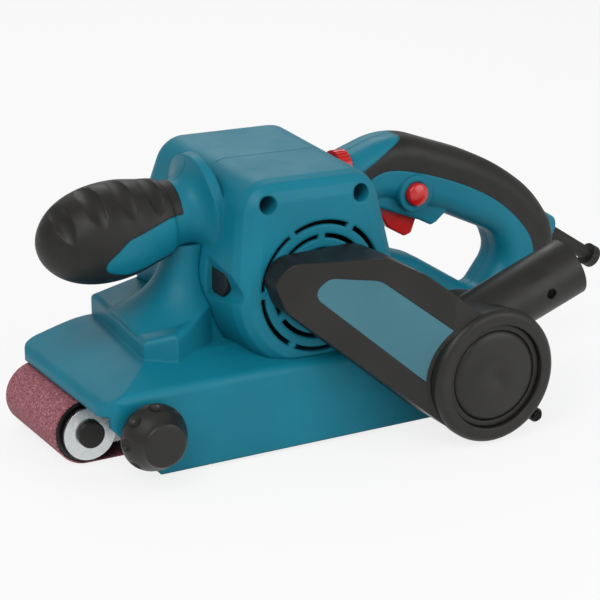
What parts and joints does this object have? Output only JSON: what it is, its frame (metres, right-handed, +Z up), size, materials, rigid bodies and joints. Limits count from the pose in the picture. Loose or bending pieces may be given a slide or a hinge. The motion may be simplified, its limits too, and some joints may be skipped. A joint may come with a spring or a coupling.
{
  "type": "belt sander",
  "caption": "Corded hand-held belt sander with a closed belt hood, round motor housing, palm grip, D handle with trigger, and a side dust duct with a swivelling spout.",
  "frame": {"origin": "centre of the sanding belt's flat lower face, where the tool stands on its work", "axes": "+X to the rear handle, +Y to the operator's right (the open belt side), +Z up"},
  "size_m": [0.411, 0.1805, 0.1774],
  "materials": {
    "teal_plastic": "fine moulded grain",
    "black_rubber": "soft matt over-mould",
    "black_plastic": "fine moulded grain",
    "red_plastic": "smooth",
    "label_film": "satin film",
    "abrasive": "coated grit on cloth",
    "bright_steel": "turned and zinc plated",
    "cast_aluminium": "as cast",
    "lamination_steel": "stacked sheets",
    "copper": "enamelled wire and bare bars",
    "carbon": "pressed carbon",
    "pad_felt": "graphite faced felt",
    "lagging_rubber": "ground",
    "roller_plastic": "turned"
  },
  "bodies": {
    "machine": {"belt_hood": "teal_plastic", "left_housing": "teal_plastic", "right_housing": "teal_plastic", "front_grip": "black_rubber", "rear_grip": "black_rubber", "trigger_pin": "bright_steel", "cord_guard": "black_rubber", "sanding_belt": "abrasive", "platen_pad": "pad_felt", "platen_plate": "bright_steel", "base_frame": "cast_aluminium", "lever_pin": "bright_steel", "drive_belt": "lagging_rubber", "drum_bearing_inner": "bright_steel", "drum_bearing_outer": "bright_steel", "bearing_plate": "black_plastic", "motor_bearing_left": "bright_steel", "motor_bearing_right": "bright_steel", "field_core": "lamination_steel", "field_coils": "copper", "carbon_brushes": "carbon", "brush_holders": "black_plastic", "switch_body": "black_plastic", "speed_module": "black_plastic", "dust_duct": "black_plastic", "label_plate": "label_film", "duct_screws": "bright_steel", "housing_screws": "bright_steel"},
    "trigger": {"trigger": "red_plastic"},
    "lock_button": {"lock_button": "red_plastic"},
    "speed_dial": {"speed_dial": "red_plastic"},
    "tracking": {"tracking_knob": "black_plastic", "tracking_screw": "bright_steel"},
    "lever": {"tension_lever": "bright_steel"},
    "yoke": {"idler_yoke": "cast_aluminium", "idler_axle": "black_plastic", "axle_plates": "bright_steel", "tension_spring": "bright_steel"},
    "idler": {"idler_roller": "roller_plastic", "idler_bearings": "bright_steel"},
    "drum": {"drum_core": "cast_aluminium", "drum_lagging": "lagging_rubber", "drum_shaft": "bright_steel", "drum_pulley": "cast_aluminium"},
    "armature": {"motor_pulley": "bright_steel", "armature_shaft": "bright_steel", "armature_core": "lamination_steel", "armature_winding": "copper", "commutator": "copper", "cooling_fan": "black_plastic"},
    "spout": {"dust_spout": "black_plastic", "spout_cap": "black_plastic"}
  },
  "joints": [
    {"name": "armature_spin", "type": "hinge", "parent": "machine", "child": "armature", "pos_m": [0.039, 0, 0.101], "axis": [0, 1, 0], "continuous": true},
    {"name": "drum_spin", "type": "hinge", "parent": "machine", "child": "drum", "pos_m": [0.1012, 0, 0.0208], "axis": [0, 1, 0], "continuous": true},
    {"name": "idler_spin", "type": "hinge", "parent": "yoke", "child": "idler", "pos_m": [-0.1012, 0, 0.0208], "axis": [0, 1, 0], "continuous": true},
    {"name": "tension_lever_turn", "type": "hinge", "parent": "machine", "child": "lever", "pos_m": [-0.041, 0.0395, 0.0176], "axis": [0, 0, 1], "range_deg": [0, 90]},
    {"name": "yoke_slide", "type": "slide", "parent": "machine", "child": "yoke", "axis": [1, 0, 0], "range_m": [0, 0.006]},
    {"name": "tracking_knob_turn", "type": "hinge", "parent": "machine", "child": "tracking", "pos_m": [-0.082, -0.082, 0.032], "axis": [0, 1, 0], "range_deg": [-180, 180]},
    {"name": "trigger_press", "type": "hinge", "parent": "machine", "child": "trigger", "pos_m": [0.108, -0.018, 0.133], "axis": [0, -1, 0], "range_deg": [0, 5.5], "stiffness_Nm_per_rad": 1.5, "springref_deg": -1.72},
    {"name": "lock_button_press", "type": "slide", "parent": "machine", "child": "lock_button", "axis": [0, 1, 0], "range_m": [0, 0.003], "stiffness_N_per_m": 400, "springref_m": -0.002},
    {"name": "speed_dial_turn", "type": "hinge", "parent": "machine", "child": "speed_dial", "pos_m": [0.081, -0.024, 0.1555], "axis": [1, 0, 0], "range_deg": [-135, 135]},
    {"name": "spout_swivel", "type": "hinge", "parent": "machine", "child": "spout", "pos_m": [0.1292, -0.1, 0.0444], "axis": [0, 1, 0], "range_deg": [0, 45]}
  ],
  "couplings": [
    {"joint": "drum_spin", "follows": "armature_spin", "ratio": 0.41026},
    {"joint": "idler_spin", "follows": "armature_spin", "ratio": 0.41026},
    {"joint": "tension_lever_turn", "follows": "yoke_slide", "rad_per_m": 261.79}
  ]
}
